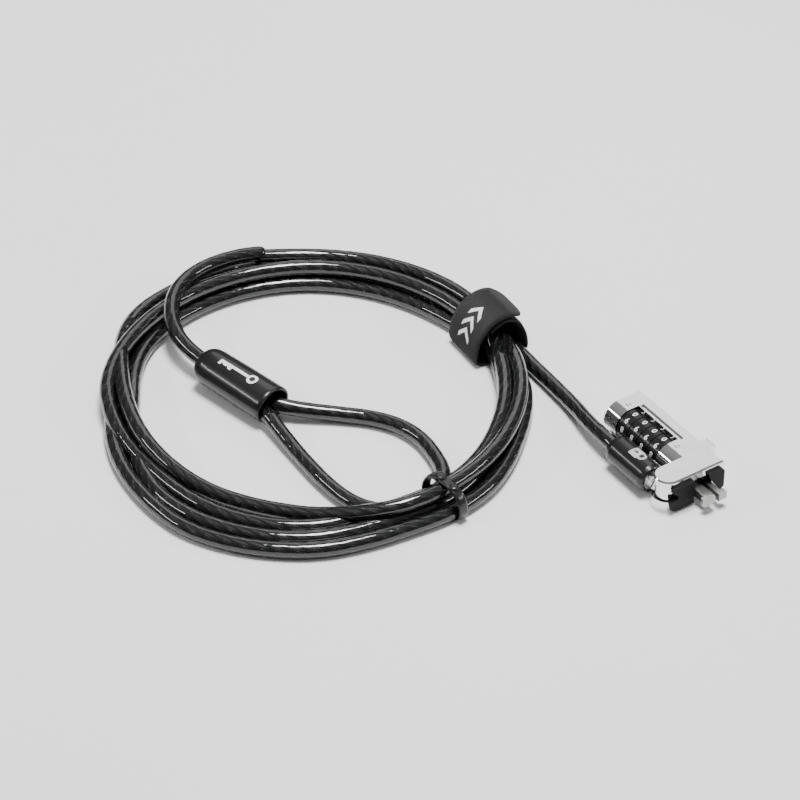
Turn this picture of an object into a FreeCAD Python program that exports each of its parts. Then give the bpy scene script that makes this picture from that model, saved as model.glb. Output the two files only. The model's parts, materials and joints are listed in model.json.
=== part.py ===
"""Combination laptop cable lock, in millimetres.

The lock head lies on its flat underside. +X runs towards the hook jaws, +Y towards the release
button and +Z up. The origin is at the middle of the head's footprint. The cable leaves the
moulded strain relief towards -X, runs to a flat coil and ends in a loop with a moulded sleeve.
"""

import FreeCAD, Part
import math
import os

import Sketcher

V = FreeCAD.Vector
X_AXIS = V(1, 0, 0)
Y_AXIS = V(0, 1, 0)
Z_AXIS = V(0, 0, 1)

os.makedirs("parts", exist_ok=True)
doc = FreeCAD.newDocument("laptop_cable_lock")

# ------------------------------------------------------------------ driving dimensions
DIMENSIONS = {
    # head outline
    "rear_x": -26.25,
    "front_x": 18.75,
    "tip_x": 26.25,
    "far_y": 11.0,
    "head_height": 12.2,
    "split_z": 7.2,
    "wall": 1.4,
    "barrel_y": 1.8,
    "barrel_z": 6.1,
    "barrel_radius": 6.1,
    # wheel bay
    "bay_rear_x": -19.85,
    "bay_front_x": 1.55,
    "bay_radius": 6.0,
    "window_y": 5.2,
    "groove_wide": 1.5,
    "groove_deep": 0.7,
    "groove_front_x": 2.4,
    # digit wheels
    "wheel_radius": 5.8,
    "wheel_pitch": 5.27,
    "wheel_wide": 4.87,
    "wheel_bore": 3.5,
    "rib_deep": 0.3,
    "rib_wide": 0.5,
    "hub_bore": 1.75,
    "hub_recess": 2.9,
    "hub_recess_deep": 2.3,
    "hub_slot_wide": 1.5,
    # spindle
    "spindle_radius": 1.6,
    "spindle_bore": 1.68,
    "fin_wide": 1.1,
    "fin_long": 0.9,
    "fin_reach": 2.6,
    # clevis and arm
    "pivot_x": 14.0,
    "pivot_y": -8.4,
    "arm_radius": 4.75,
    "upper_ear_z": 9.7,
    "lower_ear_z": 4.0,
    "pin_radius": 2.0,
    "pin_running": 0.05,
    "eye_radius": 4.2,
    "eye_low_z": 4.5,
    "eye_high_z": 9.2,
    # strain relief on the cable
    "sleeve_y": -9.8,
    "sleeve_z": 6.2,
    "sleeve_radius": 5.2,
    "sleeve_rear_x": -12.3,
    "sleeve_front_x": 8.2,
    "cable_radius": 2.75,
    # slide chamber
    "chamber_rear_x": 4.6,
    "chamber_near_y": -1.7,
    "chamber_low_z": 2.5,
    "chamber_high_z": 9.4,
    "opening_far_y": 6.2,
    # jaws and release
    "shank_rear_x": 10.4,
    "hook_rear_x": 24.05,
    "near_shank_y": -1.3,
    "near_hook_y": -2.5,
    "blade_near_y": 1.2,
    "blade_far_y": 2.3,
    "far_shank_near_y": 3.55,
    "far_shank_far_y": 5.5,
    "far_hook_y": 6.7,
    "slide_near_y": 6.3,
    "slide_far_y": 8.9,
    "jaw_low_z": 3.15,
    "jaw_high_z": 6.1,
    "button_long": 5.0,
    "button_x": 7.85,
    "button_low_z": 6.0,
    "button_high_z": 11.0,
    "button_proud": 3.9,
    # rubber pads
    "pad_proud": 1.2,
    "pad_low_z": 0.9,
    "pad_high_z": 10.0,
    # coil of cable
    "coil_x": -92.5,
    "coil_y": -79.0,
    "coil_half_wide": 9.5,
    "coil_high": 11.0,
}

sheet = doc.addObject("Spreadsheet::Sheet", "Sheet")
for row, (alias, value) in enumerate(DIMENSIONS.items(), start=1):
    sheet.set(f"A{row}", alias)
    sheet.set(f"B{row}", str(value))
    sheet.setAlias(f"B{row}", alias)
doc.recompute()


def dim(alias):
    """The value of one cell of the sheet."""
    return float(sheet.get(alias))


def cell(text):
    """An expression in which each alias is written with the sheet's name before it."""
    words = text.replace("(", " ( ").replace(")", " ) ").replace("-", " - ").replace("+", " + ")
    words = words.replace("*", " * ").replace("/", " / ").split()
    return " ".join(f"Sheet.{word}" if word in DIMENSIONS else word for word in words)


# ------------------------------------------------------------------ PartDesign helpers
def new_body(name):
    body = doc.addObject("PartDesign::Body", name)
    body.Label = name
    return body


def origin_plane(body, role):
    return next(feature for feature in body.Origin.OriginFeatures if feature.Role == role)


def new_sketch(body, role, offset="0"):
    """An empty sketch on an origin plane of its body, moved along the plane's normal."""
    sketch = body.newObject("Sketcher::SketchObject", f"{body.Name}_sketch")
    sketch.AttachmentSupport = [(origin_plane(body, role), "")]
    sketch.MapMode = "FlatFace"
    sketch.setExpression("AttachmentOffset.Base.z", cell(offset))
    return sketch


def pin_point(sketch, geometry, vertex, across, up):
    """Bind a point of the sketch to two expressions of the sheet."""
    for kind, text in (("DistanceX", across), ("DistanceY", up)):
        index = sketch.addConstraint(Sketcher.Constraint(kind, -1, 1, geometry, vertex, 1.0))
        sketch.setExpression(f"Constraints[{index}]", cell(text))


def polygon(body, role, corners, offset="0"):
    """A closed outline whose corners are bound to the sheet."""
    sketch = new_sketch(body, role, offset)
    count = len(corners)
    for index in range(count):
        turn = 2 * math.pi / count
        start = V(math.cos(turn * index), math.sin(turn * index), 0)
        end = V(math.cos(turn * (index + 1)), math.sin(turn * (index + 1)), 0)
        sketch.addGeometry(Part.LineSegment(start, end), False)
    for index in range(count):
        sketch.addConstraint(
            Sketcher.Constraint("Coincident", index, 2, (index + 1) % count, 1))
    for index, (across, up) in enumerate(corners):
        pin_point(sketch, index, 1, across, up)
    return sketch


def rectangle(body, role, left, low, right, high, offset="0"):
    return polygon(body, role, [(left, low), (right, low), (right, high), (left, high)], offset)


def circle(body, role, across, up, radius, offset="0"):
    sketch = new_sketch(body, role, offset)
    sketch.addGeometry(Part.Circle(V(0, 0, 0), Z_AXIS, 1.0), False)
    pin_point(sketch, 0, 3, across, up)
    index = sketch.addConstraint(Sketcher.Constraint("Radius", 0, 1.0))
    sketch.setExpression(f"Constraints[{index}]", cell(radius))
    return sketch


def pad(body, sketch, length, backwards=False):
    feature = body.newObject("PartDesign::Pad", f"{body.Name}_pad")
    feature.Profile = sketch
    feature.setExpression("Length", cell(length))
    feature.Reversed = backwards
    return feature


def pocket(body, sketch, length, backwards=False):
    """A cut, with a check that it removed material."""
    doc.recompute()
    before = body.Shape.Volume
    feature = body.newObject("PartDesign::Pocket", f"{body.Name}_pocket")
    feature.Profile = sketch
    feature.setExpression("Length", cell(length))
    feature.Reversed = backwards
    doc.recompute()
    if body.Shape.Volume > before - 0.01:
        raise ValueError(f"{feature.Name} cuts nothing")
    return feature


def revolve(body, corners, across, up):
    """A full turn of an outline in the XZ plane about a line along X at (across, up) = (Y, Z)."""
    sketch = polygon(body, "XZ_Plane", corners, f"0 - ( {across} )")
    start = len(corners)
    sketch.addGeometry(Part.LineSegment(V(0, 0, 0), V(1, 0, 0)), True)
    pin_point(sketch, start, 1, "rear_x", up)
    pin_point(sketch, start, 2, "front_x", up)
    feature = body.newObject("PartDesign::Revolution", f"{body.Name}_turn")
    feature.Profile = sketch
    feature.ReferenceAxis = (sketch, ["Axis0"])
    feature.Angle = 360
    return feature


def round_edges(body, radius, chosen):
    """Fillet the edges that a test picks."""
    doc.recompute()
    base = body.Tip
    names = [f"Edge{i + 1}" for i, edge in enumerate(base.Shape.Edges) if chosen(edge)]
    feature = body.newObject("PartDesign::Fillet", f"{body.Name}_fillet")
    feature.Base = (base, names)
    feature.Radius = radius
    doc.recompute()
    return feature


def bevel_edges(body, size, chosen):
    """Chamfer the edges that a test picks."""
    doc.recompute()
    base = body.Tip
    names = [f"Edge{i + 1}" for i, edge in enumerate(base.Shape.Edges) if chosen(edge)]
    feature = body.newObject("PartDesign::Chamfer", f"{body.Name}_chamfer")
    feature.Base = (base, names)
    feature.Size = size
    doc.recompute()
    return feature


# ------------------------------------------------------------------ Part helpers
def bind(feature, **expressions):
    for name, text in expressions.items():
        feature.setExpression(name.replace("__", "."), cell(text))


def box(name, left, near, low, long, deep, high):
    """A Part::Box whose corner and sizes are expressions."""
    item = doc.addObject("Part::Box", name)
    item.Label = name
    bind(item, Length=long, Width=deep, Height=high, Placement__Base__x=left,
         Placement__Base__y=near, Placement__Base__z=low)
    return item


def rod(name, direction, at_x, at_y, at_z, radius, long):
    """A Part::Cylinder from a point, along an axis."""
    item = doc.addObject("Part::Cylinder", name)
    item.Label = name
    item.Placement = FreeCAD.Placement(V(0, 0, 0), FreeCAD.Rotation(Z_AXIS, direction))
    bind(item, Radius=radius, Height=long, Placement__Base__x=at_x, Placement__Base__y=at_y,
         Placement__Base__z=at_z)
    return item


def joined(name, pieces):
    item = doc.addObject("Part::MultiFuse", name)
    item.Label = name
    item.Shapes = pieces
    item.Refine = True
    return item


def solid(name, shape):
    """A Part::Feature for a shape that is computed here."""
    item = doc.addObject("Part::Feature", name)
    item.Label = name
    item.Shape = shape
    return item


def coil_spring(name, start, direction, length, radius, wire, turns):
    """A round-wire compression spring standing on a point."""
    rise = (length - 2 * wire) / turns
    helix = Part.makeHelix(rise, rise * turns, radius)
    profile = Part.Wire(Part.makeCircle(wire, V(radius, 0, 0), Y_AXIS))
    shape = Part.Wire(helix.Edges).makePipeShell([profile], True, True)
    item = solid(name, shape)
    turn = FreeCAD.Rotation(Z_AXIS, direction)
    item.Placement = FreeCAD.Placement(start + direction * wire, turn)
    return item


NODES = []


def node(item):
    """Keep an object as a sub-part of its own."""
    NODES.append(item)
    return item


# ------------------------------------------------------------------ the housing halves
SCREW_PLACES = [("rear_x + 3.6", "far_y - 3"), ("bay_front_x + 1.55", "far_y - 3.4")]


def cut_shared_spaces(body, chamber_low, chamber_high):
    """Cuts that both castings share: wheel bay, spindle bore, detent and slide chamber."""
    pocket(body, circle(body, "YZ_Plane", "barrel_y", "barrel_z", "bay_radius", "bay_rear_x"),
           "bay_front_x - bay_rear_x", True)
    pocket(body, rectangle(body, "XY_Plane", "bay_rear_x", "far_y - 30", "bay_front_x",
                           "window_y", "-1"), "head_height + 3", True)
    pocket(body, circle(body, "YZ_Plane", "barrel_y", "barrel_z", "spindle_bore",
                        "rear_x + wall"), "chamber_rear_x + 1 - rear_x - wall", True)
    pocket(body, rectangle(body, "YZ_Plane", "far_y - 4.6", "barrel_z - 1.7", "far_y - 2",
                           "barrel_z + 1.7", "bay_rear_x"), "bay_front_x - bay_rear_x", True)
    pocket(body, rectangle(body, "XY_Plane", "chamber_rear_x", "chamber_near_y",
                           "front_x - 1.7", "far_y - wall", chamber_low),
           f"{chamber_high} - ( {chamber_low} )", True)
    pocket(body, rectangle(body, "YZ_Plane", "chamber_near_y", "chamber_low_z",
                           "opening_far_y", "chamber_high_z", "front_x - 2.5"), "4", True)


def add_arm(body, low, thick, extra):
    """One ear of the clevis: an arm across the head with a round end about the pivot."""
    pad(body, rectangle(body, "XY_Plane", "pivot_x - arm_radius", "pivot_y", "front_x",
                        "barrel_y", low), thick)
    pad(body, circle(body, "XY_Plane", f"pivot_x - {extra}", "pivot_y",
                     f"arm_radius + {extra}", low), thick)


def cut_eye_space(body, low, high):
    """Room beside the barrel for the cable's eye to turn in."""
    pocket(body, rectangle(body, "YZ_Plane", "-9", low, "barrel_y - barrel_radius + 1", high,
                           "pivot_x - arm_radius - 0.4"), "15", True)


def cut_button_hole(body, low, high):
    pocket(body, rectangle(body, "XZ_Plane", "button_x - button_long / 2 - 0.15", low,
                           "button_x + button_long / 2 + 0.15", high, "0 - far_y - 1"),
           "wall + 3.2", True)


def cut_screw_holes(body, radius, low, long):
    for across, up in SCREW_PLACES:
        pocket(body, circle(body, "XY_Plane", across, up, radius, low), long, True)


def lies_along(edge, axis, test):
    """True for a straight edge along an axis whose middle passes a test."""
    if edge.Curve.TypeId != "Part::GeomLine":
        return False
    along = edge.tangentAt(edge.FirstParameter)
    return abs(along.dot(axis)) > 0.999 and test(edge.CenterOfMass)


def make_housing_top():
    """The upper casting: flat top, barrel over the wheels, window and upper ear."""
    body = new_body("housing_top")
    pad(body, rectangle(body, "YZ_Plane", "barrel_y", "split_z", "far_y", "head_height",
                        "rear_x"), "front_x - rear_x")
    pad(body, circle(body, "YZ_Plane", "barrel_y", "barrel_z", "barrel_radius", "rear_x"),
        "front_x - rear_x")
    add_arm(body, "upper_ear_z", "head_height - upper_ear_z", "0")
    pocket(body, rectangle(body, "XY_Plane", "rear_x - 1", "far_y - 40", "front_x + 1",
                           "far_y + 1", "-1"), "split_z + 1", True)
    cut_eye_space(body, "split_z - 1", "upper_ear_z")
    top = dim("head_height")
    front = dim("front_x")
    bevel_edges(body, 0.5, lambda edge: (
        lies_along(edge, Y_AXIS, lambda c: abs(c.z - top) < 0.01 and abs(c.x - front) < 0.01)
        or lies_along(edge, X_AXIS, lambda c: abs(c.z - top) < 0.01 and c.y > 10)))
    cut_shared_spaces(body, "split_z - 1", "chamber_high_z")
    pocket(body, circle(body, "XY_Plane", "pivot_x", "pivot_y", "pin_radius",
                        "upper_ear_z - 1"), "2.2", True)
    groove_near = "window_y + 0.4"
    groove_end = "groove_front_x - groove_wide / 2"
    groove_floor = "head_height - groove_deep"
    pocket(body, rectangle(body, "XY_Plane", "bay_rear_x + 0.3", groove_near, groove_end,
                           f"{groove_near} + groove_wide", groove_floor), "3", True)
    pocket(body, circle(body, "XY_Plane", groove_end, f"{groove_near} + groove_wide / 2",
                        "groove_wide / 2", groove_floor), "3", True)
    cut_button_hole(body, "split_z - 1", "button_high_z + 0.15")
    cut_screw_holes(body, "0.85", "split_z - 1", "3.4")
    for mark_x in ("bay_rear_x - 3.4", "bay_front_x + 1.9"):
        for shift in ("0", "1.1"):
            pocket(body, rectangle(body, "XY_Plane", f"{mark_x} + {shift} * 0.6",
                                   f"barrel_y + 0.2 + {shift}", f"{mark_x} + 1.9",
                                   f"barrel_y + 0.6 + {shift}", "head_height - 0.3"), "2", True)
    return node(body)


def make_housing_base():
    """The lower casting: floor, barrel underside and lower ear."""
    body = new_body("housing_base")
    pad(body, rectangle(body, "YZ_Plane", "barrel_y", "0", "far_y", "split_z", "rear_x"),
        "front_x - rear_x")
    pad(body, circle(body, "YZ_Plane", "barrel_y", "barrel_z", "barrel_radius", "rear_x"),
        "front_x - rear_x")
    add_arm(body, "0", "lower_ear_z", "0.4")
    pocket(body, rectangle(body, "XY_Plane", "rear_x - 1", "far_y - 40", "front_x + 1",
                           "far_y + 1", "split_z"), "10", True)
    cut_eye_space(body, "lower_ear_z", "split_z + 1")
    bevel_edges(body, 0.5, lambda edge: (
        lies_along(edge, X_AXIS, lambda c: abs(c.z) < 0.01 and c.y > 10)))
    cut_shared_spaces(body, "chamber_low_z", "split_z + 1")
    pocket(body, circle(body, "XY_Plane", "pivot_x", "pivot_y", "pin_radius", "1.2"), "6", True)
    cut_button_hole(body, "button_low_z - 0.15", "split_z + 1")
    cut_screw_holes(body, "0.95", "-1", "split_z + 2")
    cut_screw_holes(body, "1.7", "-1", "2.3")
    return node(body)


def make_screws():
    """Countersunk machine screws that hold the castings together, with a straight slot."""
    for number, (across, up) in enumerate(SCREW_PLACES, start=1):
        body = new_body(f"case_screw_{number}")
        pad(body, circle(body, "XY_Plane", across, up, "1.6", "0.2"), "1.1")
        pad(body, circle(body, "XY_Plane", across, up, "0.8", "1.2"), "8")
        pocket(body, rectangle(body, "XY_Plane", f"{across} - 1.8", f"{up} - 0.2",
                               f"{across} + 1.8", f"{up} + 0.2", "0"), "0.7", True)
        node(body)


# ------------------------------------------------------------------ wheels and spindle
WHEELS = 4
DIGITS = 10


def wheel_middle(number):
    """X of the middle of a wheel, as an expression."""
    return f"( bay_rear_x + bay_front_x ) / 2 + wheel_pitch * {number - 2.5}"


def make_wheel(number):
    """A digit ring: ten flats' worth of rim divided by shallow grooves, with a round bore."""
    body = new_body(f"digit_wheel_{number}")
    start = f"{wheel_middle(number)} - wheel_wide / 2"
    pad(body, circle(body, "YZ_Plane", "barrel_y", "barrel_z", "wheel_radius", start),
        "wheel_wide")
    pocket(body, circle(body, "YZ_Plane", "barrel_y", "barrel_z", "wheel_bore", start),
           "wheel_wide", True)
    doc.recompute()
    before = body.Shape.Volume
    sketch = new_sketch(body, "YZ_Plane", f"{wheel_middle(number)} - wheel_wide * 0.36")
    spin = math.radians(90 + 180 / DIGITS)
    middle = V(dim("barrel_y"), dim("barrel_z"), 0)
    out = V(math.cos(spin), math.sin(spin), 0)
    side = V(-out.y, out.x, 0) * dim("rib_wide") / 2
    low = middle + out * (dim("wheel_radius") - dim("rib_deep"))
    high = middle + out * (dim("wheel_radius") + 1)
    corners = [low - side, high - side, high + side, low + side]
    for index, corner in enumerate(corners):
        sketch.addGeometry(Part.LineSegment(corner, corners[(index + 1) % 4]), False)
    groove = body.newObject("PartDesign::Pocket", f"{body.Name}_groove")
    groove.Profile = sketch
    groove.setExpression("Length", cell("wheel_wide * 0.72"))
    groove.Reversed = True
    doc.recompute()
    axis = body.newObject("PartDesign::Line", f"{body.Name}_axis")
    axis.Placement = FreeCAD.Placement(V(0, dim("barrel_y"), dim("barrel_z")),
                                       FreeCAD.Rotation(Z_AXIS, X_AXIS))
    pattern = body.newObject("PartDesign::PolarPattern", f"{body.Name}_grooves")
    pattern.Originals = [groove]
    pattern.Axis = (axis, [""])
    pattern.Angle = 360
    pattern.Occurrences = DIGITS
    body.Tip = pattern
    doc.recompute()
    if body.Shape.Volume > before - 1:
        raise ValueError("the grooves are missing")
    return node(body)


def make_hub(number):
    """The code hub inside a wheel: a sleeve with a recess and one slot for the spindle's fin."""
    body = new_body(f"code_hub_{number}")
    start = f"{wheel_middle(number)} - wheel_wide / 2"
    pad(body, circle(body, "YZ_Plane", "barrel_y", "barrel_z", "wheel_bore", start),
        "wheel_wide")
    pocket(body, circle(body, "YZ_Plane", "barrel_y", "barrel_z", "hub_bore", start),
           "wheel_wide", True)
    pocket(body, circle(body, "YZ_Plane", "barrel_y", "barrel_z", "hub_recess",
                        f"{start} + wheel_wide - hub_recess_deep"), "hub_recess_deep", True)
    pocket(body, rectangle(body, "YZ_Plane", "barrel_y - hub_slot_wide / 2", "barrel_z",
                           "barrel_y + hub_slot_wide / 2", "barrel_z + fin_reach + 0.15", start),
           "wheel_wide", True)
    return node(body)


def make_spindle():
    """The sliding spindle with one fin per wheel and a cone at the front."""
    body = new_body("spindle")
    tip = "8"
    pad(body, circle(body, "YZ_Plane", "barrel_y", "barrel_z", "spindle_radius",
                     "rear_x + 3.4"), f"{tip} - rear_x - 3.4")
    for number in range(1, WHEELS + 1):
        pad(body, rectangle(body, "YZ_Plane", "barrel_y - fin_wide / 2", "barrel_z",
                            "barrel_y + fin_wide / 2", "barrel_z + fin_reach",
                            f"{wheel_middle(number)} + 1.32"), "fin_long")
    bevel_edges(body, 1.3, lambda edge: abs(edge.CenterOfMass.x - 8) < 0.01)
    return node(body)


def make_washer(number):
    """A thin washer between two wheels."""
    body = new_body(f"wheel_washer_{number}")
    start = f"{wheel_middle(number)} + wheel_pitch / 2 - 0.1"
    pad(body, circle(body, "YZ_Plane", "barrel_y", "barrel_z", "5.1", start), "0.2")
    pocket(body, circle(body, "YZ_Plane", "barrel_y", "barrel_z", "hub_recess", start), "0.2",
           True)
    return node(body)


def make_detent():
    """A leaf spring beside the wheels, with one finger and one bump for each."""
    pieces = [box("detent_spine", "bay_rear_x + 0.3", "far_y - 2.7", "barrel_z - 1.5",
                  "bay_front_x - bay_rear_x - 0.6", "0.35", "0.7")]
    for number in range(1, WHEELS + 1):
        middle = wheel_middle(number)
        pieces.append(box(f"detent_finger_{number}", f"{middle} - 1.7", "far_y - 2.7",
                          "barrel_z - 1.5", "3.4", "0.35", "3"))
        pieces.append(rod(f"detent_bump_{number}", X_AXIS, f"{middle} - 1.2", "far_y - 2.65",
                          "barrel_z", "0.6", "2.4"))
    return node(joined("detent_spring", pieces))


# ------------------------------------------------------------------ jaws and release
def make_jaws():
    """Two hooks and a thin blade, cut from steel plate."""
    near = new_body("near_jaw")
    pad(near, polygon(near, "XY_Plane", [
        ("shank_rear_x", "near_shank_y"), ("hook_rear_x", "near_shank_y"),
        ("hook_rear_x", "near_hook_y"), ("tip_x", "near_hook_y"),
        ("tip_x", "blade_near_y - 0.06"), ("shank_rear_x", "blade_near_y - 0.06")],
        "jaw_low_z"), "jaw_high_z - jaw_low_z")
    tip = dim("tip_x")
    hook = dim("near_hook_y")
    bevel_edges(near, 0.8, lambda edge: lies_along(
        edge, Z_AXIS, lambda c: abs(c.x - tip) < 0.01 and abs(c.y - hook) < 0.01))
    bevel_edges(near, 0.25, lambda edge: lies_along(
        edge, Y_AXIS, lambda c: abs(c.x - tip) < 0.01))
    node(near)

    blade = new_body("jaw_blade")
    pad(blade, rectangle(blade, "XY_Plane", "shank_rear_x", "blade_near_y", "tip_x - 0.35",
                         "blade_far_y", "jaw_low_z"), "jaw_high_z - jaw_low_z - 0.15")
    bevel_edges(blade, 0.5, lambda edge: lies_along(
        edge, Y_AXIS, lambda c: c.x > tip - 0.5 and c.z > 5))
    node(blade)

    far = new_body("far_jaw")
    pad(far, polygon(far, "XY_Plane", [
        ("shank_rear_x", "far_shank_near_y"), ("tip_x", "far_shank_near_y"),
        ("tip_x", "far_hook_y"), ("hook_rear_x", "far_hook_y"),
        ("hook_rear_x", "far_shank_far_y"), ("shank_rear_x + 3", "far_shank_far_y"),
        ("shank_rear_x + 3", "slide_near_y"), ("shank_rear_x", "slide_near_y")],
        "jaw_low_z"), "jaw_high_z - jaw_low_z")
    bevel_edges(far, 0.25, lambda edge: lies_along(
        edge, Y_AXIS, lambda c: abs(c.x - tip) < 0.01))
    node(far)

    node(box("jaw_seat", "shank_rear_x", "chamber_near_y + 0.1", "chamber_low_z",
             "front_x - 1.9 - shank_rear_x", "blade_far_y - chamber_near_y",
             "jaw_low_z - chamber_low_z"))
    clamp = new_body("jaw_clamp")
    pad(clamp, polygon(clamp, "XZ_Plane", [
        ("shank_rear_x", "jaw_high_z"), ("front_x - 4.5", "jaw_high_z"),
        ("front_x - 0.9", "chamber_high_z - 0.9"), ("front_x - 0.9", "chamber_high_z - 0.1"),
        ("shank_rear_x", "chamber_high_z - 0.1")], "0 - blade_far_y"),
        "blade_far_y - chamber_near_y - 0.1")
    node(clamp)


def make_release():
    """The push button, its slide with the cam that pushes the spindle, and their spring."""
    button = new_body("release_button")
    pad(button, rectangle(button, "XZ_Plane", "button_x - button_long / 2", "button_low_z",
                          "button_x + button_long / 2", "button_high_z",
                          "0 - far_y - button_proud"), "far_y + button_proud - slide_far_y")
    outer = dim("far_y") + dim("button_proud")
    round_edges(button, 1.0, lambda edge: lies_along(
        edge, X_AXIS, lambda c: abs(c.y - outer) < 0.01) or lies_along(
        edge, Z_AXIS, lambda c: abs(c.y - outer) < 0.01))
    node(button)

    node(box("release_slide", "chamber_rear_x + 0.6", "slide_near_y", "chamber_low_z + 0.3",
             "10.4", "slide_far_y - slide_near_y", "6.3"))

    cam = new_body("release_cam")
    pad(cam, polygon(cam, "XY_Plane", [
        ("6.7", "barrel_y + 2"), ("8.2", "barrel_y + 0.5"), ("9.4", "barrel_y + 0.5"),
        ("9.4", "slide_near_y"), ("6.7", "slide_near_y")], "barrel_z - 1.5"), "3")
    node(cam)

    spring_start = V(14.0, dim("blade_far_y") + 0.15, 7.6)
    length = dim("slide_near_y") - spring_start.y
    node(coil_spring("release_spring", spring_start, Y_AXIS, length, 0.95, 0.2, 4))
    spindle_rear = dim("rear_x") + 3.4
    start = V(dim("rear_x") + dim("wall"), dim("barrel_y"), dim("barrel_z"))
    node(coil_spring("spindle_spring", start, X_AXIS, spindle_rear - start.x, 1.1, 0.18, 3))


# ------------------------------------------------------------------ rubber pads
def make_pads():
    """Rubber pads on the front that bear on the laptop's edge."""
    far = new_body("front_pad_far")
    pad(far, polygon(far, "YZ_Plane", [
        ("far_y - 0.35", "pad_low_z + 1.5"), ("far_y - 0.35", "pad_high_z - 1"),
        ("far_y - 1.2", "pad_high_z"), ("far_y - 6.9", "pad_high_z"),
        ("far_y - 6.6", "pad_high_z - 1.6"), ("far_y - 1.8", "pad_low_z + 0.5")],
        "front_x"), "pad_proud")
    node(far)
    near = new_body("front_pad_near")
    pad(near, polygon(near, "YZ_Plane", [
        ("chamber_near_y - 0.1", "pad_low_z"), ("chamber_near_y - 0.1", "pad_high_z"),
        ("pivot_y - 2.2", "pad_high_z"), ("pivot_y - 2.5", "pad_high_z - 1.1"),
        ("pivot_y + 0.1", "barrel_z + 0.5"), ("pivot_y + 0.1", "barrel_z - 0.5"),
        ("pivot_y - 3.5", "barrel_z - 1.1"), ("pivot_y - 2.5", "pad_low_z + 0.7"),
        ("pivot_y - 1.2", "pad_low_z")],
        "front_x"), "pad_proud")
    node(near)


# ------------------------------------------------------------------ cable fitting
def make_fitting():
    """The pin, the eye that turns on it, the collar, the crimp and the moulded relief."""
    pin = new_body("pivot_pin")
    pad(pin, circle(pin, "XY_Plane", "pivot_x", "pivot_y", "pin_radius", "1.2"), "9.7")
    node(pin)

    eye = new_body("cable_eye")
    thick = "eye_high_z - eye_low_z"
    pad(eye, circle(eye, "XY_Plane", "pivot_x", "pivot_y", "eye_radius", "eye_low_z"), thick)
    pad(eye, rectangle(eye, "XY_Plane", "sleeve_front_x + 0.4", "sleeve_y - 1.9", "pivot_x - 2.5",
                       "sleeve_y + 3.1", "eye_low_z"), thick)
    pocket(eye, circle(eye, "XY_Plane", "pivot_x", "pivot_y", "pin_radius + pin_running",
                       "eye_low_z"), thick, True)
    node(eye)

    collar = new_body("cable_collar")
    revolve(collar, [("sleeve_front_x", "sleeve_z"), ("sleeve_front_x", "sleeve_z + 2.1"),
                     ("sleeve_front_x + 0.2", "sleeve_z + 2.1"),
                     ("sleeve_front_x + 0.4", "sleeve_z + 1.9"),
                     ("sleeve_front_x + 0.4", "sleeve_z")], "sleeve_y", "sleeve_z")
    node(collar)

    node(rod("crimp_ferrule", X_AXIS, "sleeve_front_x - 8", "sleeve_y", "sleeve_z", "3.6", "8"))
    node(rod("cable_end", X_AXIS, "sleeve_rear_x", "sleeve_y", "sleeve_z", "cable_radius",
             "sleeve_front_x - 8 - sleeve_rear_x"))

    relief = new_body("strain_relief")
    bore = "sleeve_z + cable_radius + 0.1"
    crimp_bore = "sleeve_z + 3.7"
    crimp_x = "sleeve_front_x - 8.1"
    revolve(relief, [("sleeve_rear_x", bore), ("sleeve_rear_x", "sleeve_z + sleeve_radius - 1.3"),
                     ("sleeve_rear_x + 0.6", "sleeve_z + sleeve_radius - 0.5"),
                     ("sleeve_rear_x + 2.2", "sleeve_z + sleeve_radius"),
                     ("sleeve_front_x - 1.8", "sleeve_z + sleeve_radius"),
                     ("sleeve_front_x - 0.4", "sleeve_z + sleeve_radius - 0.3"),
                     ("sleeve_front_x", "sleeve_z + sleeve_radius - 0.7"),
                     ("sleeve_front_x", crimp_bore), (crimp_x, crimp_bore), (crimp_x, bore)],
            "sleeve_y", "sleeve_z")
    node(relief)


# ------------------------------------------------------------------ the cable's free length
TABLE_Z = dim("cable_radius")
LEAD = [(-12.3, -9.8, 6.2), (-18.5, -9.8, 6.2), (-28.5, -8.6, 5.0), (-40, -5.9, 3.1),
        (-54, -4.8, 2.75), (-68, -4.2, 2.75)]
TAIL = [(-165, -50, 11.6), (-170, -63, 11.6), (-169.5, -77, 11.8), (-163, -89.5, 11.8),
        (-152, -98.5, 11), (-140, -101.8, 8.9), (-127, -99.9, 7.4)]
LOOP = [(-95, -90.2, 5.2), (-89, -83.4, 4.0), (-82, -74.5, 3.0), (-74, -65.8, 2.8),
        (-65, -60.2, 2.8), (-55, -58.4, 2.8), (-46, -59.6, 2.8), (-38, -61.6, 2.8),
        (-31.4, -66.2, 2.8), (-27.6, -73.4, 2.8), (-27.3, -81.4, 2.8), (-30.4, -88.8, 2.8),
        (-36.4, -94.2, 2.8), (-44.2, -96.8, 2.8), (-54, -97.6, 2.8), (-64, -97.4, 2.8),
        (-74, -96.8, 2.8), (-84, -96.2, 3.6), (-94, -95.4, 4.8)]


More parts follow.
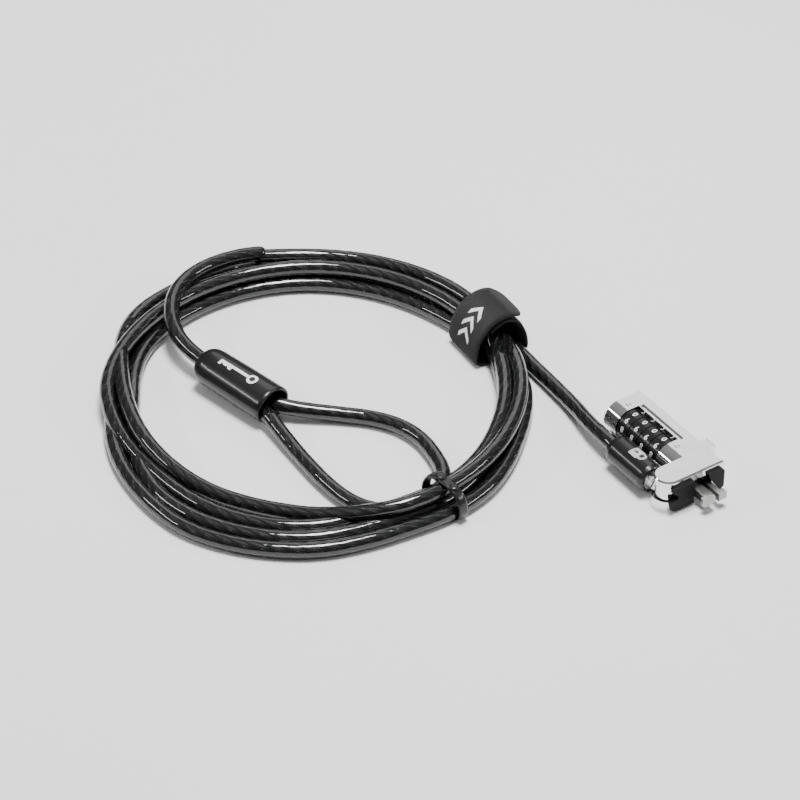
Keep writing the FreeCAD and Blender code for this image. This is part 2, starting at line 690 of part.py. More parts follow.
def cable_tube(name, route):
    """A round tube along straight runs joined by tangent arcs, as large as the runs allow."""
    points = [V(*place) for place in route]
    radius = dim("cable_radius")
    edges = []
    last = points[0]
    radii = []
    for before, corner, after in zip(points, points[1:], points[2:]):
        inward = (before - corner).normalize()
        outward = (after - corner).normalize()
        half_turn = (math.pi - inward.getAngle(outward)) / 2
        reach = 0.45 * min((before - corner).Length, (after - corner).Length)
        start = corner + inward * reach
        end = corner + outward * reach
        bend = reach / math.tan(half_turn)
        middle = corner + (inward + outward).normalize() * (
            bend / math.cos(half_turn) - bend)
        edges.append(Part.LineSegment(last, start).toShape())
        edges.append(Part.Arc(start, middle, end).toShape())
        radii.append(round(bend))
        last = end
    edges.append(Part.LineSegment(last, points[-1]).toShape())
    spine = Part.Wire(edges)
    heading = points[1] - points[0]
    profile = Part.Wire(Part.makeCircle(radius, points[0], heading))
    tube = spine.makePipeShell([profile], True, False)
    expected = math.pi * radius ** 2 * spine.Length
    print(name, "length", round(spine.Length, 1), "radii", radii,
          "volume ratio", round(tube.Volume / expected, 4))
    return node(solid(name, tube))


RING = [(-50, 66.6), (-20, 67.0), (8, 69.6), (36, 69.0), (62, 69.4), (88, 71.0), (118, 72.8),
        (150, 74.9), (182, 73.8), (212, 69.4), (240, 65.4), (274, 65.2)]


def ring_place(angle, radius, rise):
    """A point at an angle and a distance from the coil's middle."""
    reach = FreeCAD.Rotation(Z_AXIS, angle).multVec(V(radius, 0, rise))
    return V(dim("coil_x"), dim("coil_y"), 0) + reach


def make_coil():
    """The outer shape of the coiled cable: a flat oval section taken round an uneven ring."""
    high = dim("coil_high") / 2
    line = Part.BSplineCurve()
    line.interpolate([ring_place(angle, radius, high) for angle, radius in RING], True)
    spine = Part.Wire(line.toShape())
    heading = line.tangent(line.FirstParameter)[0]
    oval = Part.Ellipse(V(0, dim("coil_half_wide"), 0), V(0, 0, high), V(0, 0, 0)).toShape()
    turn = FreeCAD.Rotation(X_AXIS, heading)
    oval.Placement = FreeCAD.Placement(line.value(line.FirstParameter), turn)
    return node(solid("cable_coil", spine.makePipeShell([Part.Wire(oval)], True, False)))


STRAP = [(59.9, 0), (59.9, 6), (62.8, 13), (66.4, 17), (70.6, 18.6), (75, 18.2), (80, 15.2),
         (82, 7), (82, 0)]
TIE = [(59.4, 0), (59.4, 11.6), (79.8, 11.6), (79.8, 0)]


def across_coil(name, angle, wide, thick, outline):
    """A band round the coil's bundle, at an angle about the coil's middle, from its outline."""
    corners = [V(radius, -wide / 2, high) for radius, high in outline]
    outer = Part.Face(Part.makePolygon(corners + corners[:1]))
    inner = outer.makeOffset2D(-thick)
    item = solid(name, outer.cut(inner).extrude(V(0, wide, 0)))
    item.Placement = FreeCAD.Placement(V(dim("coil_x"), dim("coil_y"), 0),
                                       FreeCAD.Rotation(Z_AXIS, angle))
    return node(item)


SLEEVE_OVALS = [(0, 4.8, 4.2), (0.5, 5.7, 5.0), (1.3, 6.3, 5.6), (2.6, 6.85, 6.05), (4.4, 7.15, 6.3),
                (20, 7.5, 6.5), (33.4, 7.6, 6.4)]


def make_loop_sleeve():
    """The moulded sleeve that closes the loop, with the crimp inside it."""
    start = V(*TAIL[-1])
    end = V(-94.4, -92.4, 6.4)
    along = end - start
    turn = FreeCAD.Rotation(X_AXIS, along)
    core = Part.makeCylinder(3.4, 16, V(5, 0, 0), X_AXIS)
    sections = []
    for reach, wide, high in SLEEVE_OVALS:
        oval = Part.Ellipse(V(reach, wide, 0), V(reach, 0, high), V(reach, 0, 0))
        sections.append(Part.Wire(oval.toShape()))
    shell = Part.makeLoft(sections, True, True)
    sleeve = solid("loop_sleeve", shell.cut(core))
    crimp = solid("loop_crimp", core)
    for item in (sleeve, crimp):
        item.Placement = FreeCAD.Placement(start, turn)
        node(item)


# ------------------------------------------------------------------ build, check and write
make_housing_top()
make_housing_base()
make_screws()
for wheel in range(1, WHEELS + 1):
    make_wheel(wheel)
    make_hub(wheel)
for wheel in range(1, WHEELS):
    make_washer(wheel)
make_spindle()
make_detent()
make_jaws()
make_release()
make_pads()
make_fitting()
cable_tube("cable_lead", LEAD)
make_coil()
cable_tube("cable_tail", TAIL)
cable_tube("cable_loop", LOOP)
make_loop_sleeve()
across_coil("coil_strap", 86, 18.5, 1.4, STRAP)
across_coil("coil_tie", 7, 3.0, 0.8, TIE)

doc.recompute()
for item in doc.Objects:
    if "Invalid" in item.State or "Error" in item.State:
        raise ValueError(f"{item.Name} failed: {item.State}")
for item in NODES:
    shape = item.Shape
    if shape.isNull() or not shape.isValid() or len(shape.Solids) != 1:
        raise ValueError(f"{item.Label} is not one valid solid")
for item in NODES:
    item.Shape.exportStep(f"parts/{item.Label}.step")
print(len(NODES), "sub-parts")
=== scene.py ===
"""Looks of a combination laptop cable lock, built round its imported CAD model.

Lengths in the tables are in millimetres; meshes are in metres.
"""
import bisect
import json
import math

import bmesh
import bpy
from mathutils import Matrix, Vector


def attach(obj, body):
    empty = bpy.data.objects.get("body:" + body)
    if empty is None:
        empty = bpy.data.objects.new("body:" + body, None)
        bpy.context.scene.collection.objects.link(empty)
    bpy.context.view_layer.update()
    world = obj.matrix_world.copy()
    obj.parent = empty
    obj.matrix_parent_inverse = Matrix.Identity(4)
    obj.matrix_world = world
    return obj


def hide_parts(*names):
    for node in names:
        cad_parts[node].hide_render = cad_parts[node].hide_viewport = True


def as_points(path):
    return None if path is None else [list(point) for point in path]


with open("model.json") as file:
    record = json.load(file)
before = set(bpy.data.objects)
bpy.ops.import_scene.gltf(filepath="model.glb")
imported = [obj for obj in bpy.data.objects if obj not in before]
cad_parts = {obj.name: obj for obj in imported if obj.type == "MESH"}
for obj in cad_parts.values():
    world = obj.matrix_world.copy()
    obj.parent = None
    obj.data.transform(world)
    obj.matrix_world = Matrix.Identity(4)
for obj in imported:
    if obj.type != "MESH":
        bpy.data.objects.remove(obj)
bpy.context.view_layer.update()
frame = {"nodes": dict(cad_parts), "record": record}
MM = 0.001


def mm(*values):
    """A point or a list of lengths given in millimetres, in metres."""
    return Vector([value * MM for value in values])


# ------------------------------------------------------------------ camera
def make_camera():
    data = bpy.data.cameras.new("camera")
    data.lens = 150
    data.sensor_width = 36
    data.clip_start = 0.01
    camera = bpy.data.objects.new("camera", data)
    camera.location = (0.6582, -0.5485, 0.7080)
    camera.rotation_euler = (math.radians(51.5), 0, math.radians(56))
    bpy.context.scene.collection.objects.link(camera)
    bpy.context.scene.camera = camera


make_camera()

# ------------------------------------------------------------------ the cable's line
CABLE_RADIUS = 2.75
LEAD = [(-12.3, -9.8, 6.2), (-18.5, -9.8, 6.2), (-28.5, -8.6, 5.0), (-40, -5.9, 3.1),
        (-54, -4.8, 2.75), (-68, -4.2, 2.75)]
TAIL = [(-165.4, -51, 10.6), (-168.6, -63, 11.6), (-168.6, -77, 11.8), (-163, -89.5, 11.8),
        (-152, -98.5, 11), (-140, -101.8, 8.9), (-127, -99.9, 7.4)]
IN_SLEEVE = [(-119, -97.8, 7.0), (-108, -94.2, 6.3), (-100.5, -92.2, 5.7)]
LOOP = [(-95, -90.2, 5.2), (-89, -83.4, 4.0), (-82, -74.5, 3.0), (-74, -65.8, 2.8),
        (-65, -60.2, 2.8), (-55, -58.4, 2.8), (-46, -59.6, 2.8), (-38, -61.6, 2.8),
        (-31.4, -66.2, 2.8), (-27.6, -73.4, 2.8), (-27.3, -81.4, 2.8), (-30.4, -88.8, 2.8),
        (-36.4, -94.2, 2.8), (-44.2, -96.8, 2.8), (-54, -97.6, 2.8), (-64, -97.4, 2.8),
        (-74, -96.8, 2.8), (-84, -96.2, 3.6), (-94, -95.4, 4.8), (-102, -96.8, 5.4)]
COIL_MIDDLE = (-92.5, -79.0)
# angle in degrees about the coil's middle, counted on from turn to turn, radius and height
COIL_LAY = [
    (90, 76.5, 2.75), (120, 79.0, 2.75), (150, 80.8, 2.75), (180, 81.4, 2.75),
    (196, 79.2, 3.6), (212, 72.0, 6.9), (228, 64.9, 8.2), (246, 61.4, 8.0), (268, 59.2, 6.2),
    (290, 57.0, 3.2), (310, 56.5, 2.75), (325, 58.6, 3.0), (340, 63.2, 5.4), (355, 68.3, 8.1),
    (380, 69.6, 8.4), (404, 70.6, 8.3), (425, 72.6, 8.2),
    (442, 72.8, 7.8), (470, 71.6, 3.0), (490, 73.2, 2.75), (510, 74.4, 2.75),
    (545, 74.2, 2.75), (570, 71.4, 2.75), (592, 66.2, 2.75), (612, 68.8, 2.75),
    (636, 72.2, 2.75), (660, 76.8, 2.75), (690, 76.3, 2.75), (711, 73.2, 2.75),
    (735, 75.2, 2.75), (762, 72.6, 2.75), (786, 74.0, 2.75),
    (802, 69.0, 2.75), (824, 66.6, 2.75), (850, 67.6, 2.75), (872, 68.6, 2.75),
    (908, 67.4, 2.75), (932, 65.2, 2.75), (955, 60.4, 2.75), (978, 63.0, 2.75),
    (1010, 70.2, 2.75), (1044, 71.0, 2.75), (1070, 67.6, 2.75), (1090, 69.2, 2.75),
    (1118, 66.8, 2.75), (1144, 67.0, 2.75),
    (1162, 68.4, 6.4), (1186, 69.8, 7.9), (1230, 71.2, 8.0), (1266, 70.2, 8.0),
    (1292, 69.4, 8.0), (1312, 69.4, 7.6), (1334, 65.6, 4.2), (1352, 62.6, 2.75),
    (1385, 64.8, 2.75), (1404, 65.2, 2.75), (1431, 61.6, 2.75), (1448, 63.2, 2.75),
    (1466, 65.4, 4.4), (1490, 66.2, 7.6), (1514, 67.8, 8.0),
    (1534, 74.8, 8.0), (1560, 77.2, 7.9), (1590, 77.8, 8.2), (1604, 77.9, 9.6)]
COIL_STEP = 12


def eased(angle, column):
    """A value of the coil's lay at an angle, level at each station where it turns back."""
    for index in range(1, len(COIL_LAY)):
        if angle <= COIL_LAY[index][0]:
            break
    before, after = COIL_LAY[index - 1], COIL_LAY[index]
    span = after[0] - before[0]
    share = (angle - before[0]) / span

    def slope(place):
        if not 0 < place < len(COIL_LAY) - 1:
            return 0.0
        back, here, on = COIL_LAY[place - 1], COIL_LAY[place], COIL_LAY[place + 1]
        left = (here[column] - back[column]) / (here[0] - back[0])
        right = (on[column] - here[column]) / (on[0] - here[0])
        return 0.0 if left * right <= 0 else 2 * left * right / (left + right)

    square, cube = share ** 2, share ** 3
    return ((2 * cube - 3 * square + 1) * before[column] + (3 * square - 2 * cube) * after[column]
            + (cube - 2 * square + share) * span * slope(index - 1)
            + (cube - square) * span * slope(index))


def coil_turns():
    """The coil's turns as points of the cable's line."""
    places = []
    for angle in range(COIL_LAY[0][0], COIL_LAY[-1][0] + 1, COIL_STEP):
        turn = math.radians(angle)
        radius = eased(angle, 1)
        places.append((COIL_MIDDLE[0] + radius * math.cos(turn),
                       COIL_MIDDLE[1] + radius * math.sin(turn), eased(angle, 2)))
    return places


def curve_mesh(curve):
    """The mesh Blender makes of a curve, in the curve's own units."""
    holder = bpy.data.objects.new("curve", curve)
    bpy.context.scene.collection.objects.link(holder)
    graph = bpy.context.evaluated_depsgraph_get()
    mesh = bpy.data.meshes.new_from_object(holder.evaluated_get(graph))
    bpy.data.objects.remove(holder)
    return mesh


def read_line(places, resolution):
    """The points of one open NURBS spline led by control points, in metres."""
    curve = bpy.data.curves.new("line", "CURVE")
    curve.dimensions = "3D"
    spline = curve.splines.new("NURBS")
    spline.points.add(len(places) - 1)
    for point, place in zip(spline.points, places):
        point.co = (*mm(*place), 1)
    spline.order_u = 3
    spline.use_endpoint_u = True
    spline.resolution_u = resolution
    mesh = curve_mesh(curve)
    points = [vertex.co.copy() for vertex in mesh.vertices]
    bpy.data.meshes.remove(mesh)
    return points


# ------------------------------------------------------------------ mesh helpers
def add_piece(name, mesh, body, smooth=True):
    """A new piece from a mesh, riding on a CAD body."""
    for polygon in mesh.polygons:
        polygon.use_smooth = smooth
    piece = bpy.data.objects.new(name, mesh)
    bpy.context.scene.collection.objects.link(piece)
    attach(piece, body)
    return piece


def grid_mesh(name, rows):
    """A tube of quads over rings of points, with UVs of turns across and metres along."""
    count = len(rows[0])
    mesh = bpy.data.meshes.new(name)
    vertices = [point for row in rows for point in row]
    faces = []
    uvs = []
    gone = 0.0
    for row, (near, far) in enumerate(zip(rows, rows[1:])):
        reached = gone + (far[0] - near[0]).length
        for across in range(count):
            here = row * count + across
            beside = row * count + (across + 1) % count
            faces.append((here, beside, beside + count, here + count))
            turns = (across / count, (across + 1) / count)
            uvs += [(turns[0], gone), (turns[1], gone), (turns[1], reached), (turns[0], reached)]
        gone = reached
    mesh.from_pydata(vertices, [], faces)
    layer = mesh.uv_layers.new(name="UVMap")
    for loop, uv in zip(layer.data, uvs):
        loop.uv = uv
    return mesh


def cap_ends(mesh, count):
    """Close the first and last ring of a tube with a face each."""
    edit = bmesh.new()
    edit.from_mesh(mesh)
    edit.verts.ensure_lookup_table()
    total = len(edit.verts)
    edit.faces.new([edit.verts[index] for index in reversed(range(count))])
    edit.faces.new([edit.verts[total - count + index] for index in range(count)])
    bmesh.ops.recalc_face_normals(edit, faces=edit.faces)
    edit.to_mesh(mesh)
    edit.free()


def sweep(points, section):
    """Rings of a section of (side, up) offsets carried along points without twist."""
    side = Vector((0, 0, 1)).cross(points[1] - points[0]).normalized()
    rows = []
    for index, point in enumerate(points):
        before = points[max(index - 1, 0)]
        after = points[min(index + 1, len(points) - 1)]
        along = (after - before).normalized()
        side = (side - along * side.dot(along)).normalized()
        up = along.cross(side)
        rows.append([point + side * across + up * high for across, high in section])
    return rows


def ring_section(radius, count):
    return [(radius * math.cos(math.tau * index / count),
             radius * math.sin(math.tau * index / count)) for index in range(count)]


# ------------------------------------------------------------------ materials
class Shader:
    """A node material with a Principled shader and short calls for its texture nodes."""

    def __init__(self, name, **constants):
        self.material = bpy.data.materials.new(name)
        self.material.use_nodes = True
        self.tree = self.material.node_tree
        self.shader = self.tree.nodes["Principled BSDF"]
        for key, value in constants.items():
            self.set(key.replace("_", " "), value)

    def set(self, key, value):
        if isinstance(value, tuple):
            value = (*value, 1)
        self.shader.inputs[key].default_value = value

    def link(self, output, key):
        self.tree.links.new(output, self.shader.inputs[key])

    def node(self, kind, **settings):
        item = self.tree.nodes.new(f"ShaderNode{kind}")
        for key, value in settings.items():
            setattr(item, key, value)
        return item

    def coordinates(self, output="Object", scale=(1, 1, 1), turn=(0, 0, 0)):
        source = self.node("TexCoord")
        mapping = self.node("Mapping")
        mapping.inputs["Scale"].default_value = scale
        mapping.inputs["Rotation"].default_value = [math.radians(angle) for angle in turn]
        self.tree.links.new(source.outputs[output], mapping.inputs["Vector"])
        return mapping.outputs[0]

    def noise(self, scale, detail, rough=0.5, vector=None):
        item = self.node("TexNoise")
        item.inputs["Scale"].default_value = scale
        item.inputs["Detail"].default_value = detail
        item.inputs["Roughness"].default_value = rough
        self.tree.links.new(vector or self.coordinates(), item.inputs["Vector"])
        return item.outputs["Fac"]

    def wave(self, scale, vector, distortion):
        item = self.node("TexWave")
        item.inputs["Scale"].default_value = scale
        item.inputs["Distortion"].default_value = distortion
        self.tree.links.new(vector, item.inputs["Vector"])
        return item.outputs["Fac"]

    def ramp(self, source, *stops):
        """A colour ramp from stops of (place, colour)."""
        item = self.node("ValToRGB")
        elements = item.color_ramp.elements
        while len(elements) < len(stops):
            elements.new(0.5)
        for element, (place, colour) in zip(elements, stops):
            element.position = place
            shade = colour if isinstance(colour, tuple) else (colour,) * 3
            element.color = (*shade, 1)
        self.tree.links.new(source, item.inputs["Fac"])
        return item.outputs["Color"]

    def spread(self, source, low, high):
        """A value of 0 to 1 spread between two others."""
        item = self.node("MapRange")
        item.inputs["To Min"].default_value = low
        item.inputs["To Max"].default_value = high
        self.tree.links.new(source, item.inputs["Value"])
        return item.outputs["Result"]

    def maths(self, operation, *values):
        item = self.node("Math", operation=operation)
        for socket, value in zip(item.inputs, values):
            if isinstance(value, (int, float)):
                socket.default_value = value
            else:
                self.tree.links.new(value, socket)
        return item.outputs[0]

    def ridges(self, turns):
        """Rounded ridges, one to a turn."""
        wave = self.maths("SINE", self.maths("MULTIPLY", turns, math.pi))
        return self.maths("ABSOLUTE", wave)

    def bump(self, height, strength, distance, key="Normal"):
        item = self.node("Bump")
        item.inputs["Strength"].default_value = strength
        item.inputs["Distance"].default_value = distance
        self.tree.links.new(height, item.inputs["Height"])
        self.link(item.outputs["Normal"], key)


def chrome_finish():
    """Polished chrome with faint polishing waves and light handling marks."""
    look = Shader("chrome_plate", Metallic=1.0)
    cloud = look.noise(160, 4)
    look.link(look.ramp(cloud, (0.35, (0.80, 0.80, 0.81)), (0.7, (0.90, 0.90, 0.905))),
              "Base Color")
    look.link(look.spread(look.noise(900, 5, 0.7), 0.035, 0.13), "Roughness")
    look.bump(look.noise(130, 2), 0.12, 0.0004)
    return look.material


def steel_finish(name, shade, low, high, grain=(1, 40, 1)):
    """Ground steel with fine straight grinding lines."""
    look = Shader(name, Metallic=1.0)
    lines = look.noise(420, 5, 0.7, look.coordinates(scale=grain))
    dark = tuple(value * 0.72 for value in shade)
    look.link(look.ramp(lines, (0.3, dark), (0.72, shade)), "Base Color")
    look.link(look.spread(lines, low, high), "Roughness")
    look.bump(lines, 0.25, 0.00005)
    return look.material


def gloss_plastic(name, shade, low, high, coat=0.6, pebble=0.0):
    """Moulded plastic: slight clouding, fine surface texture and a clear gloss."""
    look = Shader(name, Coat_Weight=coat, Coat_Roughness=0.12, Specular_IOR_Level=0.3)
    cloud = look.noise(220, 3)
    lighter = tuple(value * 1.5 + 0.001 for value in shade)
    look.link(look.ramp(cloud, (0.35, shade), (0.75, lighter)), "Base Color")
    look.link(look.spread(look.noise(1500, 4), low, high), "Roughness")
    look.bump(look.noise(2600, 3), 0.1 + pebble, 0.00004)
    return look.material


def rubber_finish():
    look = Shader("pad_rubber", Specular_IOR_Level=0.2)
    look.link(look.ramp(look.noise(900, 4), (0.3, 0.004), (0.75, 0.011)), "Base Color")
    look.link(look.spread(look.noise(2200, 3), 0.5, 0.75), "Roughness")
    look.bump(look.noise(3000, 4), 0.35, 0.0001)
    return look.material


def print_finish(name, shade):
    """Printing ink with slightly uneven cover and gloss."""
    look = Shader(name)
    darker = tuple(value * 0.86 for value in shade)
    look.link(look.ramp(look.noise(2400, 3), (0.3, darker), (0.65, shade)), "Base Color")
    look.link(look.spread(look.noise(1200, 2), 0.3, 0.5), "Roughness")
    look.bump(look.noise(4000, 2), 0.15, 0.00003)
    return look.material


LAY_LENGTH = 0.038
OUTER_STRANDS = 7
WIRES_ROUND = 20
WIRES_PER_METRE = 1100


def cable_finish():
    """Twisted steel rope seen through a clear tinted jacket, under the jacket's own gloss; the
    strand crests carry painted highlights in the base colour.
    """
    look = Shader("cable_jacket", Coat_Weight=1.0, Coat_Roughness=0.03, Coat_IOR=1.6,
                  Specular_IOR_Level=0.08)
    source = look.node("TexCoord")
    split = look.node("SeparateXYZ")
    look.tree.links.new(source.outputs["UV"], split.inputs[0])
    around = split.outputs["X"]
    along = split.outputs["Y"]
    wobble = look.noise(90, 2)
    turns = look.maths("SUBTRACT", look.maths("MULTIPLY", around, OUTER_STRANDS),
                       look.maths("MULTIPLY", along, OUTER_STRANDS / LAY_LENGTH))
    strand = look.ridges(look.maths("ADD", turns, look.maths("MULTIPLY", wobble, 0.5)))
    wire = look.ridges(look.maths("ADD", look.maths("MULTIPLY", around, WIRES_ROUND),
                                  look.maths("MULTIPLY", along, WIRES_PER_METRE)))
    # Painted highlight: noise breaks the strand crests into dashes, and these are lightened in
    # the base colour as glints of the wires.
    painted_glint_breakup = look.ramp(look.noise(700, 3), (0.42, 0.15), (0.7, 1.0))
    painted_crest_highlight = look.ramp(look.maths("MULTIPLY", strand, look.spread(wire, 0.9, 1.0)),
                      (0.3, 0.0), (0.86, 0.12), (0.93, 0.5), (1.0, 1.0))
    painted_glint = look.maths("MULTIPLY", painted_crest_highlight, painted_glint_breakup)
    # Base colour: the rope's dark tone, rising to painted glints on the crests.
    look.link(look.ramp(painted_glint, (0.0, (0.0035, 0.0038, 0.004)), (0.12, (0.008, 0.008, 0.0085)),
                        (0.45, (0.018, 0.018, 0.019)), (0.9, (0.08, 0.08, 0.08))),
              "Base Color")
    look.link(look.spread(wire, 0.30, 0.45), "Roughness")
    look.bump(look.maths("ADD", strand, look.maths("MULTIPLY", wire, 0.1)), 0.6, 0.0003)
    drift = look.noise(1, 2, vector=look.coordinates("UV", scale=(3, 120, 1)))
    look.bump(drift, 0.5, 0.0006, "Coat Normal")
    return look.material


def strap_finish(name, shade, pile=False):
    """Woven nylon with a fine diagonal rib, or the fuzzy loop side of the same strap."""
    look = Shader(name, Sheen_Weight=0.1, Sheen_Roughness=0.5, Specular_IOR_Level=0.15)
    if pile:
        fuzz = look.noise(2600, 6, 0.75, look.coordinates())
    else:
        rib = look.wave(1150, look.coordinates("UV", turn=(0, 0, 38)), 0.6)
        cross = look.wave(1500, look.coordinates("UV", turn=(0, 0, -52)), 0.6)
        fuzz = look.maths("ADD", look.maths("MULTIPLY", rib, 0.7),
                          look.maths("MULTIPLY", cross, 0.3))
    grain = look.noise(900, 4, vector=look.coordinates("UV"))
    weave = look.maths("ADD", look.maths("MULTIPLY", fuzz, 0.75),
                       look.maths("MULTIPLY", grain, 0.4))
    dark = tuple(value * 0.35 for value in shade)
    light = tuple(value * 3.2 for value in shade)
    look.link(look.ramp(weave, (0.15, dark), (0.5, shade), (0.95, light)), "Base Color")
    look.link(look.spread(weave, 0.95, 0.7), "Roughness")
    look.bump(weave, 0.8, 0.0003 if pile else 0.00022)
    return look.material


LOOKS = {
    "chrome": chrome_finish(),
    "jaw_steel": steel_finish("jaw_steel", (0.42, 0.42, 0.41), 0.22, 0.4),
    "spring_steel": steel_finish("spring_steel", (0.62, 0.62, 0.62), 0.2, 0.35, (40, 1, 1)),
    "screw_steel": steel_finish("screw_steel", (0.55, 0.55, 0.56), 0.25, 0.4, (30, 30, 1)),
    "crimp_metal": steel_finish("crimp_metal", (0.66, 0.66, 0.66), 0.25, 0.4, (20, 1, 1)),
    "brass_inner": steel_finish("brass_inner", (0.72, 0.50, 0.22), 0.25, 0.4, (20, 1, 1)),
    "wheel_black": gloss_plastic("wheel_black", (0.004, 0.004, 0.0045), 0.3, 0.42, 0.15),
    "sleeve_plastic": gloss_plastic("sleeve_plastic", (0.005, 0.005, 0.0055), 0.26, 0.38, 0.35),
    "tie_plastic": gloss_plastic("tie_plastic", (0.006, 0.006, 0.0065), 0.3, 0.45, 0.3, 0.1),
    "pad_rubber": rubber_finish(),
    "cable_jacket": cable_finish(),
    "strap_fabric": strap_finish("strap_weave", (0.009, 0.009, 0.0095)),
}
PILE = strap_finish("strap_pile", (0.006, 0.006, 0.0065), True)
WHITE_INK = print_finish("white_ink", (0.86, 0.86, 0.86))
GREY_INK = print_finish("grey_ink", (0.52, 0.52, 0.53))


def dress_frame():
    """Give every CAD node the finish of its material slot."""
    for row in frame["record"]["subparts"]:
        for place in frame["nodes"][row["node"]].material_slots:
            place.material = LOOKS[row["material_slot"]]


dress_frame()

# ------------------------------------------------------------------ cable
CABLE_SIDES = 18
LINE_STEPS = 9


def make_cable():
    """The whole cable as one tube: lead, coil, tail and the loop closed in its sleeve."""
    places = LEAD + coil_turns() + TAIL + IN_SLEEVE + LOOP
    points = read_line(places, LINE_STEPS)
    mesh = grid_mesh("cable", sweep(points, ring_section(CABLE_RADIUS * MM, CABLE_SIDES)))
    cap_ends(mesh, CABLE_SIDES)
    piece = add_piece("cable", mesh, "cable_assembly")
    mesh.materials.append(LOOKS["cable_jacket"])
    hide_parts("cable_lead", "cable_coil", "cable_tail", "cable_loop")
    return piece, points


cable, cable_points = make_cable()

# ------------------------------------------------------------------ floor and light
def make_stage():
    """A wide matt floor just under the part."""
    look = Shader("floor", Roughness=0.9, Specular_IOR_Level=0.1)
    look.link(look.ramp(look.noise(6, 2), (0.3, 0.86), (0.7, 0.885)), "Base Color")
    mesh = bpy.data.meshes.new("floor")
    edit = bmesh.new()
    bmesh.ops.create_grid(edit, x_segments=2, y_segments=2, size=3)
    edit.to_mesh(mesh)
    edit.free()
    floor = bpy.data.objects.new("floor", mesh)
    floor.location.z = -0.00002
    mesh.materials.append(look.material)
    bpy.context.scene.collection.objects.link(floor)


def add_light(name, place, aim, wide, deep, power):
    data = bpy.data.lights.new(name, "AREA")
    data.shape = "RECTANGLE"
    data.size = wide
    data.size_y = deep
    data.energy = power
    lamp = bpy.data.objects.new(name, data)
    lamp.location = place
    heading = Vector(aim) - Vector(place)
    lamp.rotation_euler = heading.to_track_quat("-Z", "Y").to_euler()
    bpy.context.scene.collection.objects.link(lamp)


def make_light():
    """Four soft lights and a dome that is dark near the horizon, for contrast in the gloss."""
    middle = (-0.06, -0.06, 0)
    add_light("top_softbox", (-0.10, 0.05, 1.3), middle, 0.42, 0.42, 30)
    add_light("far_softbox", (-0.72, 0.50, 0.66), (0, 0, 0), 0.62, 0.5, 1.5)
    add_light("side_strip", (0.55, 0.75, 0.55), middle, 0.5, 0.08, 3)
    add_light("near_strip", (-0.55, -0.85, 0.55), middle, 0.5, 0.08, 3)
    world = bpy.data.worlds.new("studio")
    world.use_nodes = True
    bpy.context.scene.world = world
    tree = world.node_tree
    back = tree.nodes["Background"]
    back.inputs["Strength"].default_value = 0.42
    source = tree.nodes.new("ShaderNodeTexCoord")
    split = tree.nodes.new("ShaderNodeSeparateXYZ")
    ramp = tree.nodes.new("ShaderNodeValToRGB")
    stops = [(0.0, 1.0), (0.05, 0.3), (0.2, 0.12), (0.45, 0.4), (0.7, 0.62), (1.0, 1.0)]
    elements = ramp.color_ramp.elements
    while len(elements) < len(stops):
        elements.new(0.5)
    for element, (place, shade) in zip(elements, stops):
        element.position = place
        element.color = (shade, shade, shade * 1.01, 1)
    tree.links.new(source.outputs["Generated"], split.inputs[0])
    tree.links.new(split.outputs["Z"], ramp.inputs["Fac"])
    tree.links.new(ramp.outputs["Color"], back.inputs["Color"])


make_stage()
make_light()

# ------------------------------------------------------------------ printed digits
BARREL_Y = 1.8
BARREL_Z = 6.1
WHEEL_RADIUS = 5.8
WHEEL_PITCH = 5.27
FIRST_WHEEL_X = -17.055
DIGITS = 10
DIGIT_HIGH = 2.05
DIGIT_BOLD = 0.045
CAPITAL_SHARE = 0.72
INK = 0.03


def face_edit(curve):
    """An edit mesh of a filled curve."""
    mesh = curve_mesh(curve)
    edit = bmesh.new()
    edit.from_mesh(mesh)
    bpy.data.meshes.remove(mesh)
    return edit


def cut(edit, place, normal):
    """Cut every face where a plane crosses it."""
    bmesh.ops.bisect_plane(edit, geom=edit.verts[:] + edit.edges[:] + edit.faces[:],
                           plane_co=place, plane_no=normal)


def text_mesh(text):
    """A digit in millimetres about its own middle, cut across so that it can bend."""
    curve = bpy.data.curves.new("digit", "FONT")
    curve.body = text
    curve.size = DIGIT_HIGH / CAPITAL_SHARE
    curve.offset = DIGIT_BOLD
    curve.resolution_u = 6
    curve.align_x = "CENTER"
    curve.align_y = "CENTER"
    edit = face_edit(curve)
    xs = [vertex.co.x for vertex in edit.verts]
    ys = [vertex.co.y for vertex in edit.verts]
    middle = Vector(((min(xs) + max(xs)) / 2, (min(ys) + max(ys)) / 2, 0))
    bmesh.ops.translate(edit, verts=edit.verts, vec=-middle)
    for share in range(-3, 4):
        cut(edit, (0, share * DIGIT_HIGH / 7, 0), (0, 1, 0))
    return edit


def raise_ink(edit):
    """Give a flat outline the ink's thickness, towards +Z."""
    faces = bmesh.ops.extrude_face_region(edit, geom=edit.faces[:])
    tops = [item for item in faces["geom"] if isinstance(item, bmesh.types.BMVert)]
    bmesh.ops.translate(edit, verts=tops, vec=(0, 0, INK))
    bmesh.ops.recalc_face_normals(edit, faces=edit.faces)


def wrap(edit, place):
    """Move every point of a flat outline to where a surface puts it."""
    for vertex in edit.verts:
        vertex.co = place(*vertex.co)


